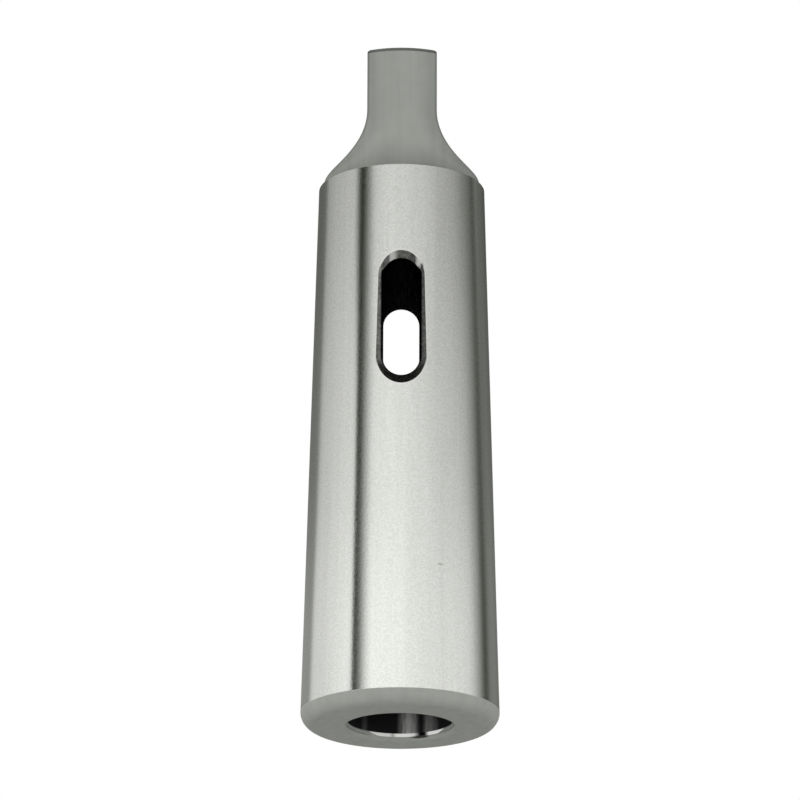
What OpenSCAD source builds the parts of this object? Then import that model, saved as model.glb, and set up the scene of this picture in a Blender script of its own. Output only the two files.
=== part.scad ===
// Reduction sleeve: number 5 outside taper, number 3 inside taper, with tang and ejector slot.
// Upright on its big end: socket mouth down at z = 0, tang at the top, slot running through along y.

/* [Outside taper] */
// Diameter at the gauge line of the outside taper
gauge_d = 44.4; // [42:0.1:50]
// Height of the gauge line above the big end
gauge_z = 6.5; // [5:0.5:8]
// Loss of diameter for each millimetre of height, outside
outer_rate = 0.0526; // [0.048:0.0002:0.054]
// Height of the shoulder where the ground cone ends
cone_h = 127.3; // [120:0.1:140]
// Rounding of the big end's outer edge
end_round = 3.3; // [1:0.1:4.5]
// Small break on the shoulder's edge
shoulder_break = 0.3; // [0.1:0.1:0.8]

/* [Tang] */
// Height of the tang above the shoulder
tang_h = 28.7; // [26:0.1:36]
// Thickness across the two flats
tang_t = 15.9; // [12:0.1:20]
// Step from the end of the cone down to the turned diameter
tang_step = 1.2; // [0.6:0.1:2]
// Radius the milling cutter leaves at the foot of each flat
foot_r = 12.5; // [10:0.5:14]
// Turned length left between the shoulder and the foot of the flats
foot_gap = 1.7; // [1:0.1:4]
// Rounding of the flats' end edges
tang_round = 0.8; // [0.5:0.1:3]
// Height of the steep bevel on the turned end edge
tang_bevel = 0.9; // [0.2:0.1:1.2]
// How far that bevel reaches in at the end
tang_bevel_in = 0.5; // [0.2:0.1:1.2]

/* [Socket] */
// Diameter of the tapered socket at the big end
socket_d = 23.8; // [22:0.1:26]
// Loss of diameter for each millimetre of height, inside
socket_rate = 0.0502; // [0.046:0.0002:0.054]
// Widening of the mouth on each side, a 60 degree countersink
mouth_bevel = 0.65; // [0.3:0.05:1.2]
// Straight relief between the tapered bore and the slot
relief_h = 5; // [2:0.5:10]
// Height the drilled relief runs on past the slot's lower end
drill_over = 6.8; // [4:0.2:12]

/* [Ejector slot] */
// Height of the slot's lower end
slot_z = 76.9; // [70:0.1:84]
// Length of the slot, end to end
slot_l = 27.8; // [22:0.2:31]
// Width of the slot
slot_w = 8.3; // [6:0.1:10]
// Depth of the bevel round the slot, measured at its middle height
slot_bevel = 1.8; // [1.2:0.1:2.6]
// Widening of that bevel for each millimetre of its depth
bevel_slope = 1.2; // [0.8:0.1:1.6]

/* [Centre hole] */
// Largest diameter of the 60 degree centre in the tang's end
centre_d = 8; // [5:0.5:10]

/* [Hidden] */
$fn = 96;
eps = 0.01;
past = 1;
cone_d0 = gauge_d + gauge_z*outer_rate;
cone_d1 = cone_d0 - cone_h*outer_rate;
round_d = cone_d0 - end_round*outer_rate;
total_h = cone_h + tang_h;
tang_d = cone_d1 - 2*tang_step;
// depth of a flat, and height of the arc from its foot up to the straight part
flat_depth = (tang_d - tang_t)/2;
foot_h = flat_depth < foot_r ? sqrt(foot_r*foot_r - pow(foot_r - flat_depth, 2)) : foot_r;
flat_z = cone_h + foot_gap + foot_h;
socket_h = slot_z - relief_h;
relief_d = socket_d - socket_h*socket_rate;
drill_z = slot_z + drill_over;
// a 118 degree drill point
point_h = relief_d/2/tan(59);
// a 60 degree countersink is 30 degrees a side
mouth_h = mouth_bevel/tan(30);
slot_r = slot_w/2;
slot_z0 = slot_z + slot_r;
slot_z1 = slot_z + slot_l - slot_r;
// distance from the axis at which the slot's bevel starts, to a hundredth
bevel_y = round(100*((cone_d0 - outer_rate*(slot_z0 + slot_z1)/2)/2 - slot_bevel))/100;
bevel_h = ceil(cone_d0/2 - bevel_y + past);
// its half width at its inner end, a hair inside the slot, and at its outer end
bevel_w0 = slot_r - bevel_slope*eps;
bevel_w1 = bevel_w0 + bevel_slope*bevel_h;
pilot_d = centre_d/2;
centre_h = (centre_d - pilot_d)/2/tan(30);
pilot_h = centre_h + pilot_d;

// Quarter disc in one quadrant about the origin: sx and sy pick the quadrant
module quarter_disc(r, sx, sy) {
  intersection() {
    circle(r = r);
    translate([sx > 0 ? 0 : -r - past, sy > 0 ? 0 : -r - past])
      square(r + past);
  }
}

// Half section of the turned blank, revolved about its axis
module blank() {
  rotate_extrude() {
    polygon([
      [0, 0],
      [round_d/2 - end_round, 0],
      [round_d/2 - end_round, end_round],
      [round_d/2, end_round],
      [cone_d1/2 + shoulder_break*outer_rate/2, cone_h - shoulder_break],
      [cone_d1/2 - shoulder_break, cone_h],
      [tang_d/2, cone_h],
      [tang_d/2, total_h - tang_bevel],
      [tang_d/2 - tang_bevel_in, total_h],
      [0, total_h]
    ]);
    translate([round_d/2 - end_round, end_round])
      quarter_disc(end_round, 1, -1);
  }
}

// Side view of one milled flat: the straight part, the foot arc and the end rounding
module flat_outline() {
  translate([tang_t/2 + foot_r, flat_z])
    quarter_disc(foot_r, -1, -1);
  translate([tang_t/2, flat_z])
    square([foot_r, total_h + past - flat_z]);
  translate([tang_t/2 + foot_r, flat_z - foot_r])
    square([tang_d, total_h + past - flat_z + foot_r]);
  translate([tang_t/2 - tang_round, total_h - tang_round])
    difference() {
      square([tang_round + past, tang_round + past]);
      circle(r = tang_round);
    }
}

module tang_flats() {
  rotate([90, 0, 0])
    linear_extrude(height = tang_d + 2*past, center = true)
      for (side = [0, 1])
        mirror([side, 0])
          flat_outline();
}

// Countersunk mouth, tapered bore, drilled relief and drill point
module socket() {
  translate([0, 0, -past])
    cylinder(h = socket_h + past, d1 = socket_d + past*socket_rate, d2 = relief_d);
  translate([0, 0, -eps])
    cylinder(
      h = 2*mouth_h + eps,
      d1 = socket_d + 2*mouth_bevel + 2*eps*tan(30),
      d2 = socket_d - 2*mouth_bevel
    );
  translate([0, 0, socket_h - past])
    cylinder(h = drill_z - socket_h + past, d = relief_d);
  translate([0, 0, drill_z])
    cylinder(h = point_h, d1 = relief_d, d2 = 0);
}

// Upright outline of the slot with full round ends
module slot_outline() {
  translate([0, slot_z1])
    intersection() {
      circle(r = slot_r);
      translate([-slot_r - past, 0])
        square([slot_w + 2*past, slot_r + past]);
    }
  translate([-slot_r, slot_z0])
    square([slot_w, slot_z1 - slot_z0]);
  translate([0, slot_z0])
    intersection() {
      circle(r = slot_r);
      translate([-slot_r - past, -slot_r - past])
        square([slot_w + 2*past, slot_r + past]);
    }
}

// Half cone that bevels a slot end: turn 0 is the upper end, 180 the lower
module bevel_end(z, turn) {
  translate([0, -bevel_y + eps, z])
    rotate([90, 0, 0])
      rotate([0, 0, turn])
        rotate_extrude(angle = 180)
          polygon([
            [0, 0],
            [bevel_w0, 0],
            [bevel_w1, bevel_h],
            [0, bevel_h]
          ]);
}

// Bevel round one mouth of the slot, cut to the same distance from the axis all round
module slot_bevel_cut() {
  bevel_end(slot_z1, 0);
  bevel_end(slot_z0, 180);
  translate([0, 0, slot_z0])
    linear_extrude(height = slot_z1 - slot_z0)
      polygon([
        [-bevel_w0, -bevel_y + eps],
        [bevel_w0, -bevel_y + eps],
        [bevel_w1, -bevel_y + eps - bevel_h],
        [-bevel_w1, -bevel_y + eps - bevel_h]
      ]);
}

module ejector_slot() {
  rotate([90, 0, 0])
    linear_extrude(height = cone_d0 + 2*past, center = true)
      slot_outline();
  slot_bevel_cut();
  mirror([0, 1, 0])
    slot_bevel_cut();
}

module centre_hole() {
  translate([0, 0, total_h - centre_h])
    cylinder(h = centre_h + eps, d1 = pilot_d, d2 = centre_d + 2*eps*tan(30));
  translate([0, 0, total_h - pilot_h])
    cylinder(h = pilot_h, d = pilot_d);
}

module sleeve() {
  color([0.72, 0.73, 0.72])
    difference() {
      blank();
      tang_flats();
      socket();
      ejector_slot();
      centre_hole();
    }
}

sleeve();
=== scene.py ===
import math

import bpy
import numpy as np
from mathutils import Matrix, Vector

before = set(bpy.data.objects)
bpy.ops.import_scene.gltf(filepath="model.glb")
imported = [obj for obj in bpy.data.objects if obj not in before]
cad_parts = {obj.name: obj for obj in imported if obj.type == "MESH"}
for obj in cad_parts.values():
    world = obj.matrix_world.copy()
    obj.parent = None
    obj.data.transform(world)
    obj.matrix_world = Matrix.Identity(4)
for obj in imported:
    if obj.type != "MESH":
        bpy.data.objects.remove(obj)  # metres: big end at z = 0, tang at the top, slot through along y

scene = bpy.context.scene
scene.view_settings.view_transform = "Standard"
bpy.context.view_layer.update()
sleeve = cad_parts["sleeve"]
print("sleeve loaded,", len(sleeve.data.polygons), "faces")

# The photograph looks up at the sleeve from in front and below, from far off
viewpoint = {
    "aimHeight": 0.07683,  # where the line of sight crosses the sleeve's axis
    "aimSide": -0.00024,
    "distance": 1.297,
    "lookUp": 17.88,  # degrees
    "roll": 0.19,  # degrees
    "lens": 256.5,  # mm
}


def makeCamera(view):
    # the camera stands at aim - distance * look, look being (0, cos up, sin up)
    up = math.radians(view["lookUp"])
    look = Vector((0, math.cos(up), math.sin(up)))
    aim = Vector((view["aimSide"], 0, view["aimHeight"]))
    data = bpy.data.cameras.new("camera")
    data.lens = view["lens"]
    camera = bpy.data.objects.new("camera", data)
    scene.collection.objects.link(camera)
    tilt = Matrix.Rotation(math.pi / 2 + up, 4, "X")
    roll = Matrix.Rotation(math.radians(view["roll"]), 4, "Z")
    camera.matrix_world = Matrix.Translation(aim - view["distance"] * look) @ (tilt @ roll)
    scene.camera = camera


makeCamera(viewpoint)
print("camera placed")


# The next helpers each add a node or two to a tree and give back the socket with the result


def addNode(tree, kind, **settings):
    node = tree.nodes.new(kind)
    for name, value in settings.items():
        setattr(node, name, value)
    return node


def feed(tree, socket, source):
    # a socket is either linked or given a plain value, and a plain colour gets its fourth number here
    if isinstance(source, bpy.types.NodeSocket):
        tree.links.new(source, socket)
    elif socket.type == "RGBA":
        socket.default_value = (*source, 1)
    else:
        socket.default_value = source


def calc(tree, operation, *terms):
    node = addNode(tree, "ShaderNodeMath", operation=operation)
    for socket, term in zip(node.inputs, terms):
        feed(tree, socket, term)
    return node.outputs[0]


def product(tree, first, *others):
    for other in others:
        first = calc(tree, "MULTIPLY", first, other)
    return first


def minus(tree, first, second):
    return calc(tree, "SUBTRACT", first, second)


def inverse(tree, mask):
    return minus(tree, 1.0, mask)


def scaled(tree, value, gain, base):
    # gain * value + base
    return calc(tree, "MULTIPLY_ADD", value, gain, base)


def blendOf(tree, patterns, shares):
    # the sum of the patterns, each times its share
    total = 0.0
    for pattern, share in zip(patterns, shares):
        total = scaled(tree, pattern, share, total)
    return total


def hypotenuse(tree, first, second):
    # the square root of first * first + second * second
    return calc(tree, "SQRT", calc(tree, "ADD", product(tree, first, first), product(tree, second, second)))


def ease(tree, value, start, end):
    # 0 before start and 1 past end, smooth between; with start above end it falls instead
    node = addNode(tree, "ShaderNodeMapRange", interpolation_type="SMOOTHSTEP")
    for name, term in (("Value", value), ("From Min", start), ("From Max", end)):
        feed(tree, node.inputs[name], term)
    return node.outputs["Result"]


def widened(tree, pattern):
    # noise keeps near its middle, so this widens it to the whole range from 0 to 1
    return ease(tree, pattern, 0.3, 0.7)


mixSockets = {"FLOAT": (2, 0), "VECTOR": (4, 1), "RGBA": (6, 2)}  # the Mix node's first input and its output


def mix(tree, kind, mask, outside, inside, **settings):
    node = addNode(tree, "ShaderNodeMix", data_type=kind, **settings)
    first, result = mixSockets[kind]
    for number, term in ((0, mask), (first, outside), (first + 1, inside)):
        feed(tree, node.inputs[number], term)
    return node.outputs[result]


def shaded(tree, mask, colour, factor):
    # the colour times factor where the mask is 1; factor is a grey socket or a number
    grey = factor if isinstance(factor, bpy.types.NodeSocket) else (factor, factor, factor)
    return mix(tree, "RGBA", mask, colour, grey, blend_type="MULTIPLY")


def vector(tree, operation, first, second=None):
    node = addNode(tree, "ShaderNodeVectorMath", operation=operation)
    feed(tree, node.inputs[0], first)
    if second is not None:
        feed(tree, node.inputs[1], second)
    return node.outputs["Value" if operation == "LENGTH" else "Vector"]


def parts(tree, point):
    split = addNode(tree, "ShaderNodeSeparateXYZ")
    feed(tree, split.inputs[0], point)
    return split.outputs


def upward(tree, height):
    # the vector (0, 0, height)
    join = addNode(tree, "ShaderNodeCombineXYZ")
    feed(tree, join.inputs[2], height)
    return join.outputs[0]


def noise(tree, point, scale, stretch=None, detail=2.0, roughness=0.5):
    # stretch multiplies the coordinates, so a number below 1 draws the pattern out that way
    if stretch:
        point = vector(tree, "MULTIPLY", point, stretch)
    node = addNode(tree, "ShaderNodeTexNoise")
    for name, term in (("Vector", point), ("Scale", scale), ("Detail", detail), ("Roughness", roughness)):
        feed(tree, node.inputs[name], term)
    return node.outputs["Fac"]


def openGroup(name, **inputs):
    # a node group whose inputs are numbers with a usual value, or vectors where that is None
    tree = bpy.data.node_groups.new(name, "ShaderNodeTree")
    for label, usual in inputs.items():
        kind = "NodeSocketVector" if usual is None else "NodeSocketFloat"
        socket = tree.interface.new_socket(label, in_out="INPUT", socket_type=kind)
        if usual is not None:
            socket.default_value = usual
    return tree, tree.nodes.new("NodeGroupInput").outputs


def closeGroup(tree, **outputs):
    for label in outputs:
        tree.interface.new_socket(label, in_out="OUTPUT", socket_type="NodeSocketFloat")
    ends = tree.nodes.new("NodeGroupOutput").inputs
    for label, value in outputs.items():
        feed(tree, ends[label], value)
    return tree


def useGroup(tree, group, **feeds):
    node = addNode(tree, "ShaderNodeGroup", node_tree=group)
    for name, term in feeds.items():
        feed(tree, node.inputs[name], term)
    return node.outputs


# Where each finish lies on the sleeve, in millimetres from the big end and the axis. A pair is a smooth step: its
# mask is 0 at the first number and 1 at the second.
layout = {
    "bigRadius": 22.371,  # of the cone, carried down to z = 0
    "taper": 0.0263,  # loss of radius for each millimetre of height
    "groundFrom": (3.22, 3.38),
    "groundTo": (127.32, 127.24),
    "coneTo": (127.02, 126.96),  # just under the shoulder's small break
    "inside": (0.6, 0.8),  # depth below the cone's surface at which the inside of the slot begins
    "boreTo": (75.5, 74.5),
    "mouthEdge": (12.58, 12.51),  # distance from the axis
    "seatFrom": 0.85,  # the seat is the bright ring at the mouth
    "seatSoft": 0.05,
    "seatTo": (1.62, 1.55),
    "deepFrom": (74.5, 75.5),
    "deepTo": (110.0, 109.0),
    "slotMiddle": 90.8,
    "slotStraight": 9.75,  # half the straight length of the slot
    "slotHalf": 4.15,
    "bevelFrom": 18.18,  # distance from the axis at which the slot's bevel starts
    "bevelSlope": 1.2,
    "bevelOuter": (0.09, 0.04),  # distance outside the bevel
    "bevelInner": (-0.05, 0.05),  # distance outwards from where it starts
    "rolledAlong": (9.5, 13.0),  # towards the slot's ends the bevel is rolled over into the cone
    "rolledDepth": (0.20, 0.11),  # and this is how deep
    "stripWidth": 0.38,  # of the black strip of painted shade at the bevel's inner edge
    "stripLoss": -0.55,  # what it loses towards the slot's ends
    "stripEnds": (10.3, 12.6),
    "stripEdge": (0.18, -0.14),
    "tangHalf": 7.95,
    "tangFrom": (127.28, 127.40),
    "turnedFrom": (17.47, 17.67),  # distance from the axis at which the tang is turned, not milled
    "footTop": 141.22,  # where the cutter's arc at the foot of each flat ends
    "footRadius": 12.5,
    # painted shade near the shoulder
    "footTo": (134.8, 126.3),
    "cornerIn": (0.75, 0.1),  # distance from the tang's long edges
    # painted shade along the tang's long edges
    "marginShadeIn": (5.2, 0.9),
    # painted shade on the edge of the tang's end
    "tipShadeFrom": (155.04, 155.16),
    "tipShadeOut": (17.24, 17.36),  # distance from the axis
}


def makeZones(lay):
    # each mask is a product of smooth steps in height z, radius r and depth below the cone's surface
    tree, given = openGroup("finish zones", Place=None)

    def step(value, name):
        return ease(tree, value, *lay[name])

    x, y, z = parts(tree, given["Place"])
    side, away = calc(tree, "ABSOLUTE", x), calc(tree, "ABSOLUTE", y)
    radius = hypotenuse(tree, x, y)
    depth = minus(tree, scaled(tree, z, -lay["taper"], lay["bigRadius"]), radius)

    # rim is the distance outside the slot's bevel: up to 0 on the bevel and growing away from it on the cone
    fromMiddle = calc(tree, "ABSOLUTE", minus(tree, z, lay["slotMiddle"]))
    beyond = calc(tree, "MAXIMUM", minus(tree, fromMiddle, lay["slotStraight"]), 0.0)
    fromSlot = minus(tree, hypotenuse(tree, side, beyond), lay["slotHalf"])
    outwards = minus(tree, away, lay["bevelFrom"])
    rim = minus(tree, fromSlot, product(tree, outwards, lay["bevelSlope"]))
    rolled = product(tree, step(fromMiddle, "rolledAlong"), step(depth, "rolledDepth"))
    bevel = product(tree, step(rim, "bevelOuter"), step(outwards, "bevelInner"), inverse(tree, rolled))
    # the strip is painted shade along the bevel's inner edge
    stripWidth = scaled(tree, step(fromMiddle, "stripEnds"), lay["stripLoss"], lay["stripWidth"])
    strip = product(tree, bevel, step(minus(tree, outwards, stripWidth), "stripEdge"))

    inside = step(depth, "inside")
    outside, offBevel = inverse(tree, inside), inverse(tree, bevel)
    ground = product(tree, step(z, "groundFrom"), step(z, "groundTo"), outside, offBevel)
    cone = product(tree, ground, step(z, "coneTo"))
    # deep is the inside of the slot and of the bore above it, painted near black as shade
    deep = product(tree, inside, offBevel, step(z, "deepFrom"), step(z, "deepTo"))
    bore = product(tree, step(z, "boreTo"), step(radius, "mouthEdge"))
    seat = product(tree, bore, step(z, "seatTo"))

    # inward is the distance from the tang's long edges, which stand at tangHalf along the flats and further out,
    # by footRadius - sqrt(footRadius squared - drop squared), where the cutter's arc comes down to the foot
    drop = calc(tree, "MAXIMUM", minus(tree, lay["footTop"], z), 0.0)
    drop = calc(tree, "MINIMUM", drop, lay["footRadius"])
    arc = calc(tree, "SQRT", minus(tree, lay["footRadius"] ** 2, product(tree, drop, drop)))
    inward = minus(tree, minus(tree, lay["tangHalf"] + lay["footRadius"], arc), side)
    tang = step(z, "tangFrom")
    turned = product(tree, tang, step(radius, "turnedFrom"))
    return closeGroup(
        tree, Ground=ground, Cone=cone, Bevel=bevel, Strip=strip, Deep=deep, Bore=bore, Seat=seat, Rim=rim,
        # Corner is a darker line along the tang's long edges; the other three carry painted shade along them, on
        # the tang's end edge and near the shoulder
        Corner=product(tree, turned, step(inward, "cornerIn")),
        Margin=product(tree, turned, step(inward, "marginShadeIn")),
        Tip=product(tree, step(z, "tipShadeFrom"), step(radius, "tipShadeOut")),
        Foot=product(tree, tang, step(z, "footTo")),
    )


grindMarks = {
    "lineStretch": (0.035, 0.035, 1.0),  # drawn out round the sleeve and tight along it
    "speckleStretch": (1.0, 1.0, 1.2),
    "streakStretch": (1.0, 1.0, 0.02),  # drawn out along the sleeve
    "streakScale": 0.9,
    "roughness": 0.65,
    "toneShares": (0.16, 0.67, 0.17),  # of lines, speckle and streaks
    "reliefShares": (0.4, 0.6),  # of lines and speckle
}


def makeGrind(g):
    # fine grinding lines round the sleeve, a soft speckle and faint upright streaks, each a noise of its own
    tree, given = openGroup("ground marks", Place=None, Pitch=6.0, Speckle=2.0)
    spot, rough = given["Place"], g["roughness"]
    lines = noise(tree, spot, given["Pitch"], g["lineStretch"], 3.0, rough)
    speckle = widened(tree, noise(tree, spot, given["Speckle"], g["speckleStretch"], 2.0, rough))
    streak = widened(tree, noise(tree, spot, g["streakScale"], g["streakStretch"]))
    tone = blendOf(tree, (lines, speckle, streak), g["toneShares"])
    return closeGroup(tree, Tone=tone, Relief=blendOf(tree, (lines, speckle), g["reliefShares"]))


matteMarks = {
    "grainRoughness": 0.6,
    "cloudScale": 0.22,
    "streakScale": 0.55,
    "streakStretch": (1.0, 1.0, 0.05),
    "toneShares": (0.4, 0.3, 0.3),  # of streaks, clouds and grain
}


def makeGrain(g):
    # a close even grain over faint clouds and upright streaks, as a blasted and hardened surface has
    tree, given = openGroup("matte grain", Place=None, Size=9.0)
    spot = given["Place"]
    fine = noise(tree, spot, given["Size"], None, 3.0, g["grainRoughness"])
    cloud = noise(tree, spot, g["cloudScale"], None, 3.0)
    streak = noise(tree, spot, g["streakScale"], g["streakStretch"], 1.0)
    tone = widened(tree, blendOf(tree, (streak, cloud, fine), g["toneShares"]))
    return closeGroup(tree, Grain=fine, Tone=tone)


zones, grind, grain = makeZones(layout), makeGrind(grindMarks), makeGrain(matteMarks)

# Finishes of the one piece of steel. Pairs are smooth steps, as in the layout. A streak lies across x, in
# millimetres: where its rise begins and ends, where its fall ends and begins, and how light it is.
finish = {
    "grainScale": 9.0,
    "matteLight": (0.375, 0.386, 0.358),
    "matteDark": (0.325, 0.335, 0.31),
    "matteRough": 0.6,
    "matteMetal": 0.25,
    "shades": {"Foot": 0.72, "Corner": 0.66, "Margin": 0.83, "Tip": 0.42},  # painted shade of the matte steel in these zones, and a darker line along the tang's long edges (Corner)
    "linePitch": 6.0,
    "speckleScale": 1.9,
    "groundLight": (0.99, 1.0, 0.955),
    "groundDark": (0.79, 0.805, 0.76),
    "groundRough": (0.03, 0.12),  # what the tone adds, and the least
    # painted highlight along the bevel's outer edge; the glints use the same colour
    "highlightColour": (0.95, 0.95, 0.92),
    "rimHighlightWidth": (0.35, 0.05),
    # the bevel's colour carries painted light: lit on the left of the slot, shaded on the right and at its ends
    "bevelLitLeft": (0.30, 0.302, 0.285),
    "bevelShadedRight": (0.145, 0.146, 0.14),
    "bevelAcross": (-1.0, 1.0),
    "bevelShadedEnd": (0.122, 0.125, 0.116),
    "bevelEndFrom": (10.0, 12.5),  # distance from the slot's middle
    "bevelRough": 0.33,
    "mottleScale": 1.2,
    "mottle": (0.7, 0.68),  # what the noise adds, and the least
    # two painted glints at the top of the bevel
    "glintStreaks": ((-3.1, -2.3, -0.5, -2.0, 0.50), (2.9, 3.6, 4.6, 4.1, 0.65)),
    "glintFrom": (101.8, 103.3),
    # painted shade: near black inside the slot and along the bevel's inner edge
    "shadeBlack": (0.0003, 0.0003, 0.0003),
    "blackRough": 0.8,
    "boreDark": (0.016, 0.016, 0.017),
    # painted reflections: light streaks down the bore's far wall
    "boreReflectionLight": (0.50, 0.50, 0.485),
    "boreRough": 0.35,
    "boreReflectionStreaks": ((-1.0, 2.1, 4.6, 2.2, 0.95), (4.9, 6.4, 9.1, 6.6, 0.40), (-8.9, -8.0, -7.0, -7.9, 0.12)),
    "scratchScale": 1.6,
    "scratchStretch": (1.0, 1.0, 0.2),
    "scratches": (0.6, 0.7),  # what the noise adds, and the least
    # the seat's painted reflection: light bands with dark gaps
    "seatReflectionLight": (0.92, 0.925, 0.90),
    "seatReflectionDark": (0.004, 0.004, 0.004),
    "seatReflectionStreaks": ((-9.0, -8.0, -0.6, -2.6, 0.90), (-2.6, -0.6, 4.6, 3.0, 1.0), (5.5, 6.6, 10.8, 9.6, 1.0)),
    "seatEnds": ((-7.4, -8.4), (9.4, 10.4)),  # past these, across x, the seat is as matte as the face
    "seatNarrow": ((-4.5, -7.9), (8.3, 10.5)),  # over these its outer edge moves up
    "seatNarrowing": -0.8,
    "mouthEdgeShade": 0.62,  # painted shade: a faint dark line along the seat's outer edge, at its two matte sides
    "mouthLineWidth": (0.22, 0.08),
    "mouthLineFrom": (6.0, 8.0),
    "lipLean": 0.65,
    "marks": [  # nicks and specks from handling, then a painted shadow in the seat and a painted dark reflection by the slot: place and size in millimetres, and how dark
        ((8.9, -19.6, 32.3), (0.85, 0.85, 0.28), 0.32),
        ((21.5, -4.4, 14.2), (0.20, 0.20, 0.25), 0.5),
        ((-15.35, -15.25, 28.0), (0.30, 0.30, 0.25), 0.12),
        ((-17.5, -13.0, 20.7), (0.35, 0.35, 0.25), 0.10),
        ((4.5, 11.1, 0.72), (2.8, 1.3, 0.32), 1.0),
        ((4.72, -18.7, 102.4), (0.32, 0.60, 1.15), 0.9),
    ],
    "markEdge": (1.25, 0.5),  # in sizes from the middle of the mark
    "nickAndShadeColour": (0.05, 0.05, 0.045),
    "markDepth": -3.0,
    "bumpStrength": 0.2,
    "bumpDistance": 0.00002,
}


def streaks(tree, across, bands):
    # the lightest of several soft bands
    lightest = 0.0
    for rise, full, end, fall, light in bands:
        band = product(tree, ease(tree, across, rise, full), ease(tree, across, end, fall), light)
        lightest = calc(tree, "MAXIMUM", band, lightest)
    return lightest


def sides(tree, across, pair):
    # 1 past both of two smooth steps that lie on either side
    left, right = pair
    return calc(tree, "ADD", ease(tree, across, *left), ease(tree, across, *right))


def makeNicksAndShade(tree, millimetres, f):
    # soft spots, each about a point and with its own length, depth and height: nicks and specks, and some painted
    # shade
    darkest = 0.0
    for centre, size, dark in f["marks"]:
        near = vector(tree, "MULTIPLY", vector(tree, "SUBTRACT", millimetres, centre), [1 / s for s in size])
        mark = product(tree, ease(tree, vector(tree, "LENGTH", near), *f["markEdge"]), dark)
        darkest = calc(tree, "MAXIMUM", mark, darkest)
    return darkest


def bevelColour(tree, millimetres, f, lay):
    # painted light: lit to the left of the slot, shaded to the right and at its ends, mottled, and with two
    # painted glints
    x, _, z = parts(tree, millimetres)
    fromMiddle = calc(tree, "ABSOLUTE", minus(tree, z, lay["slotMiddle"]))
    colour = mix(tree, "RGBA", ease(tree, x, *f["bevelAcross"]), f["bevelLitLeft"], f["bevelShadedRight"])
    colour = mix(tree, "RGBA", ease(tree, fromMiddle, *f["bevelEndFrom"]), colour, f["bevelShadedEnd"])
    mottle = scaled(tree, widened(tree, noise(tree, millimetres, f["mottleScale"])), *f["mottle"])
    glint = product(tree, streaks(tree, x, f["glintStreaks"]), ease(tree, z, *f["glintFrom"]))
    return mix(tree, "RGBA", glint, shaded(tree, 1.0, colour, mottle), f["highlightColour"])


def boreColour(tree, millimetres, across, seatInner, f):
    # dark with painted reflections as light streaks, which scratches break up; the seat is a painted bright
    # reflection with dark gaps
    pattern = noise(tree, millimetres, f["scratchScale"], f["scratchStretch"], 3.0, 0.6)
    scratches = scaled(tree, widened(tree, pattern), *f["scratches"])
    light = product(tree, streaks(tree, across, f["boreReflectionStreaks"]), scratches)
    colour = mix(tree, "RGBA", light, f["boreDark"], f["boreReflectionLight"])
    seat = mix(tree, "RGBA", streaks(tree, across, f["seatReflectionStreaks"]), f["seatReflectionDark"], f["seatReflectionLight"])
    return mix(tree, "RGBA", seatInner, colour, seat)


def steelNormal(tree, millimetres, zone, seatInner, f, lay):
    # two normals are worked out: (x, y, taper * r) on the ground cone for an even polish, and (-x, -y, -lean * r)
    # on the seat's rolled edge; the rest keeps its own
    flat = vector(tree, "MULTIPLY", millimetres, (1, 1, 0))
    radius = vector(tree, "LENGTH", flat)
    cone = vector(tree, "ADD", flat, upward(tree, product(tree, radius, lay["taper"])))
    lip = vector(tree, "ADD", flat, upward(tree, product(tree, radius, f["lipLean"])))
    lip = vector(tree, "SUBTRACT", (0, 0, 0), lip)
    own = addNode(tree, "ShaderNodeNewGeometry").outputs["Normal"]
    facing = mix(tree, "VECTOR", zone["Cone"], own, vector(tree, "NORMALIZE", cone))
    return mix(tree, "VECTOR", seatInner, facing, vector(tree, "NORMALIZE", lip))


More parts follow.
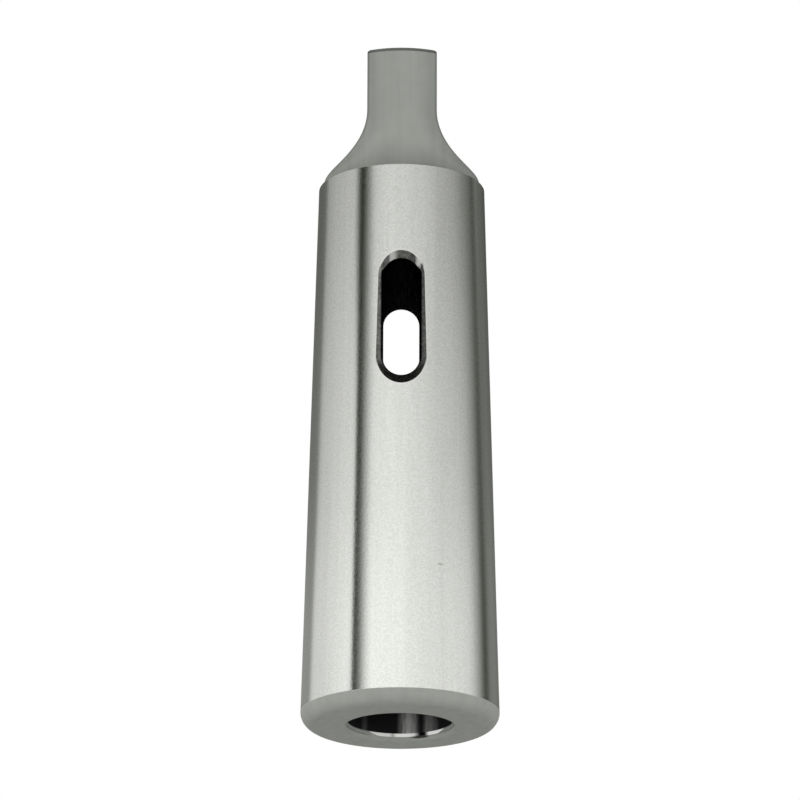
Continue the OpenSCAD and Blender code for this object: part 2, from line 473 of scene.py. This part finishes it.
def makeSteel(f, lay):
    steel = bpy.data.materials.new("steel finish")
    steel.use_nodes = True
    tree = steel.node_tree
    shader = tree.nodes["Principled BSDF"]
    where = addNode(tree, "ShaderNodeTexCoord").outputs["Object"]
    millimetres = vector(tree, "MULTIPLY", where, (1000, 1000, 1000))
    x, _, z = parts(tree, millimetres)
    zone = useGroup(tree, zones, Place=millimetres)
    wheel = useGroup(tree, grind, Place=millimetres, Pitch=f["linePitch"], Speckle=f["speckleScale"])
    blast = useGroup(tree, grain, Place=millimetres, Size=f["grainScale"])
    marks = makeNicksAndShade(tree, millimetres, f)

    # the seat's bright part narrows to a point at both ends, and past them it is matte
    moved = scaled(tree, sides(tree, x, f["seatNarrow"]), f["seatNarrowing"], z)
    outer = ease(tree, moved, lay["seatFrom"] + lay["seatSoft"], lay["seatFrom"] - lay["seatSoft"])
    seatOuter = product(tree, zone["Seat"], outer)
    seatInner = minus(tree, zone["Seat"], seatOuter)
    seatMatte = product(tree, zone["Seat"], sides(tree, x, f["seatEnds"]))
    bore = minus(tree, zone["Bore"], calc(tree, "MAXIMUM", seatOuter, seatMatte))
    fromEdge = calc(tree, "ABSOLUTE", minus(tree, z, lay["seatFrom"]))
    aside = ease(tree, calc(tree, "ABSOLUTE", x), *f["mouthLineFrom"])
    mouthEdgeShade = product(tree, zone["Bore"], ease(tree, fromEdge, *f["mouthLineWidth"]), aside)
    shadeBlack = calc(tree, "ADD", zone["Deep"], zone["Strip"])

    # colour, from the matte blank up through each worked surface
    colour = mix(tree, "RGBA", blast["Tone"], f["matteDark"], f["matteLight"])
    for name, shade in f["shades"].items():
        colour = shaded(tree, zone[name], colour, shade)
    colour = shaded(tree, mouthEdgeShade, colour, f["mouthEdgeShade"])
    ground = mix(tree, "RGBA", wheel["Tone"], f["groundDark"], f["groundLight"])
    # painted highlight along the bevel's outer edge
    ground = mix(tree, "RGBA", ease(tree, zone["Rim"], *f["rimHighlightWidth"]), ground, f["highlightColour"])
    for mask, paint in (
        (zone["Ground"], ground),
        (zone["Bevel"], bevelColour(tree, millimetres, f, lay)),
        (bore, boreColour(tree, millimetres, x, seatInner, f)),
        (shadeBlack, f["shadeBlack"]),
        (marks, f["nickAndShadeColour"]),
    ):
        colour = mix(tree, "RGBA", mask, colour, paint)
    feed(tree, shader.inputs["Base Color"], colour)

    rough = f["matteRough"]
    for mask, value in (
        (zone["Ground"], scaled(tree, wheel["Tone"], *f["groundRough"])),
        (zone["Bevel"], f["bevelRough"]),
        (bore, f["boreRough"]),
        (shadeBlack, f["blackRough"]),
    ):
        rough = mix(tree, "FLOAT", mask, rough, value)
    feed(tree, shader.inputs["Roughness"], rough)
    metal = calc(tree, "MAXIMUM", calc(tree, "MAXIMUM", zone["Ground"], zone["Bevel"]), seatInner)
    feed(tree, shader.inputs["Metallic"], mix(tree, "FLOAT", metal, f["matteMetal"], 1.0))
    feed(tree, shader.inputs["Specular IOR Level"], 0.0)

    relief = mix(tree, "FLOAT", zone["Ground"], blast["Grain"], wheel["Relief"])
    bump = addNode(tree, "ShaderNodeBump")
    feed(tree, bump.inputs["Strength"], f["bumpStrength"])
    feed(tree, bump.inputs["Distance"], f["bumpDistance"])
    feed(tree, bump.inputs["Height"], scaled(tree, marks, f["markDepth"], relief))
    feed(tree, bump.inputs["Normal"], steelNormal(tree, millimetres, zone, seatInner, f, lay))
    feed(tree, shader.inputs["Normal"], bump.outputs[0])
    return steel


sleeve.material_slots[0].material = makeSteel(finish, layout)
print("steel finished")

# Dark cards round the sleeve, which the polished steel shows as its dark bands. Directions are in degrees, round
# from the camera or up; a panel has where it begins and where it ends, and a table has pairs of degrees and level.
cards = {
    "radius": 0.45,
    "centreHeight": 0.078,
    "meridians": 360,
    "parallels": 90,
    "pole": 89.5,
    "colour": (0.014, 0.018, 0.009),
    "leftPanel": ((-137, -117), (-59.4, -56.0)),
    "leftLevels": ((-120, 0.66), (-100, 0.71), (-66, 0.90)),
    "leftEarly": 2.5,  # by which it begins earlier in its lower part
    "leftDrawn": 9.0,  # by which its end is drawn back in its upper part
    "lowerPart": (14, 10),
    "upperPart": (19, 26),
    "frontPanel": ((-54.5, -33.2), (84, 122)),
    "frontLevels": ((-20, 1.0), (0, 0.96), (20, 0.86), (50, 0.765), (60, 0.785), (75, 0.75), (95, 0.66)),
    "backOpening": (162.5, 178.5),
    "shadeLevels": (
        (-91, 0.28), (-90, 0.0), (90, 0.0), (105, 0.10), (119, 0.047),
        (129, 0.18), (140, 0.195), (152, 0.17), (160, 0.155),
    ),
    "fading": (  # share lost higher up, as the next table says
        (-180, 0.42), (-160, 0.58), (-139, 0.58), (-100, 0.39), (-60, 0.42), (-40, 0.42), (-15, 0.31),
        (30, 0.30), (60, 0.47), (80, 0.57), (90, 0.64), (100, 0.61), (112, 0.50), (119, -1.1),
        (128, 0.38), (145, 0.52), (160, 0.58), (180, 0.40),
    ),
    "fadingUp": ((10, 0.0), (15, 0.50), (19, 0.64), (26, 1.08)),
    "dip": ((-180, 0.22), (-142, 0.23), (-124, 0.05), (-110, 0.0)),  # share lost in a low belt only
    "dipFrom": (8, 14),
    "dipTo": (28, 22),
    "highLevels": ((28, 1.0), (60, 0.5), (85, 0.18)),
    "lowLevels": ((-85, 0.4), (-72, 0.5), (-45, 1.0), (7, 0.95), (11, 1.0)),
}


def smoothStep(value, start, end):
    # as ease does it in nodes: 0 before start, 1 past end, or falling where start is above end
    part = np.clip((value - start) / (end - start), 0, 1)
    return part * part * (3 - 2 * part)


def tabled(value, table):
    # straight lines between the pairs of a table
    return np.interp(value, *zip(*table))


def clearness(azimuth, elevation, c):
    # how much of the white surroundings shows in each direction: panels with soft or sharp edges, an opening at
    # the back and a faint shade between, each dimmed by height
    def panel(name, early=0.0, drawn=0.0):
        begin, end = c[name + "Panel"]
        rise = smoothStep(azimuth, begin[0] - early, begin[1] - early)
        fall = smoothStep(azimuth, end[1], end[0] - drawn)
        return rise * fall * tabled(azimuth, c[name + "Levels"])

    early = c["leftEarly"] * smoothStep(elevation, *c["lowerPart"])
    drawn = c["leftDrawn"] * smoothStep(elevation, *c["upperPart"])
    clear = np.maximum(panel("left", early, drawn), panel("front"))
    clear = np.maximum(clear, smoothStep(np.abs(azimuth), *c["backOpening"]))
    clear = np.maximum(clear, tabled(azimuth, c["shadeLevels"]))
    clear = clear * (1 - tabled(azimuth, c["fading"]) * tabled(elevation, c["fadingUp"]))
    belt = smoothStep(elevation, *c["dipFrom"]) * smoothStep(elevation, *c["dipTo"])
    clear = clear * (1 - tabled(azimuth, c["dip"]) * belt)
    return clear * tabled(elevation, c["highLevels"]) * tabled(elevation, c["lowLevels"])


def coverMaterial(name, colour):
    # matte where the socket given back is 1 and see-through where it is 0
    material = bpy.data.materials.new(name)
    material.use_nodes = True
    tree = material.node_tree
    tree.nodes.clear()
    blend, matte = addNode(tree, "ShaderNodeMixShader"), addNode(tree, "ShaderNodeBsdfDiffuse")
    feed(tree, matte.inputs["Color"], colour)
    feed(tree, blend.inputs[1], addNode(tree, "ShaderNodeBsdfTransparent").outputs[0])
    feed(tree, blend.inputs[2], matte.outputs[0])
    feed(tree, addNode(tree, "ShaderNodeOutputMaterial").inputs["Surface"], blend.outputs[0])
    return material, tree, blend.inputs[0]


def makeCards(c):
    # a globe: (sin a cos e, -cos a cos e, sin e) times the radius, a round from the camera and e the elevation
    across, rings = c["meridians"], c["parallels"]
    azimuth = np.linspace(-180, 180, across, endpoint=False)
    a, e = np.meshgrid(azimuth, np.linspace(-c["pole"], c["pole"], rings))
    turn, rise = np.radians(a), np.radians(e)
    points = np.stack([np.sin(turn) * np.cos(rise), -np.cos(turn) * np.cos(rise), np.sin(rise)], -1) * c["radius"]
    points[..., 2] += c["centreHeight"]
    row, column = np.meshgrid(np.arange(rings - 1), np.arange(across), indexing="ij")
    here, beside = row * across + column, row * across + (column + 1) % across
    faces = np.stack([here, beside, beside + across, here + across], -1)
    mesh = bpy.data.meshes.new("dark cards")
    mesh.from_pydata(points.reshape(-1, 3).tolist(), [], faces.reshape(-1, 4).tolist())
    shade = mesh.attributes.new("cloth", "FLOAT", "POINT")
    shade.data.foreach_set("value", (1 - clearness(a, e, c)).ravel().astype(np.float32))
    cloth, tree, cover = coverMaterial("card cloth", c["colour"])
    feed(tree, cover, addNode(tree, "ShaderNodeAttribute", attribute_name="cloth").outputs["Fac"])
    mesh.materials.append(cloth)
    globe = bpy.data.objects.new("dark cards", mesh)
    scene.collection.objects.link(globe)
    for ray in ("camera", "diffuse", "shadow"):  # they stand only in reflections
        setattr(globe, "visible_" + ray, False)


makeCards(cards)
print("dark cards placed")

# Plain soft light for the floor and the matte steel, from five far-off lamps
lamps = {
    "front": {"from": (-0.25, -1.15, -0.11), "strength": 1.6, "spread": 37},  # spread is its width in degrees
    "right": {"from": (1.18, 0.20, -0.14), "strength": 1.41, "spread": 33},
    "left": {"from": (-1.18, 0.20, -0.14), "strength": 0.80, "spread": 33},
    "above": {"from": (-0.3, 0.2, 1.12), "strength": 1.10, "spread": 42},
    "back": {"from": (-0.4, 1.1, 0.42), "strength": 0.80, "spread": 36},
}


def makeLamps(lights):
    for name, lamp in lights.items():
        data = bpy.data.lights.new(name, "SUN")
        data.energy, data.angle = lamp["strength"], math.radians(lamp["spread"])
        light = bpy.data.objects.new(name, data)
        light.location = lamp["from"]
        light.rotation_euler = Vector(lamp["from"]).to_track_quat("Z", "Y").to_euler()
        light.visible_glossy = False
        scene.collection.objects.link(light)


makeLamps(lamps)
print("lamps placed")

surroundings = {
    "white": 1.0,  # to the camera and in reflections
    "fill": 0.47,  # for the rest
    "floorColour": (0.88, 0.88, 0.87),
    "floorReach": 4,  # metres from the sleeve
}


def makeWorld(s):
    world = bpy.data.worlds.new("white studio")
    scene.world = world
    world.use_nodes = True
    tree = world.node_tree
    background = tree.nodes["Background"]
    feed(tree, background.inputs["Color"], (1, 1, 1))
    ray = addNode(tree, "ShaderNodeLightPath").outputs
    seen = calc(tree, "MAXIMUM", ray["Is Camera Ray"], ray["Is Glossy Ray"])
    seen = calc(tree, "MAXIMUM", seen, ray["Is Transmission Ray"])
    feed(tree, background.inputs["Strength"], mix(tree, "FLOAT", seen, s["fill"], s["white"]))


def makeFloor(s):
    # seen from above only, because the photograph looks up from under it
    reach = s["floorReach"]
    corners = [(-reach, -reach, 0), (reach, -reach, 0), (reach, reach, 0), (-reach, reach, 0)]
    mesh = bpy.data.meshes.new("floor")
    mesh.from_pydata(corners, [], [(0, 1, 2, 3)])
    paper, tree, cover = coverMaterial("floor paper", s["floorColour"])
    ray, side = addNode(tree, "ShaderNodeLightPath"), addNode(tree, "ShaderNodeNewGeometry")
    top = minus(tree, ray.outputs["Is Camera Ray"], side.outputs["Backfacing"])
    feed(tree, cover, calc(tree, "MAXIMUM", top, 0.0))
    mesh.materials.append(paper)
    floor = bpy.data.objects.new("floor", mesh)
    scene.collection.objects.link(floor)


makeWorld(surroundings)
makeFloor(surroundings)
print("studio set")
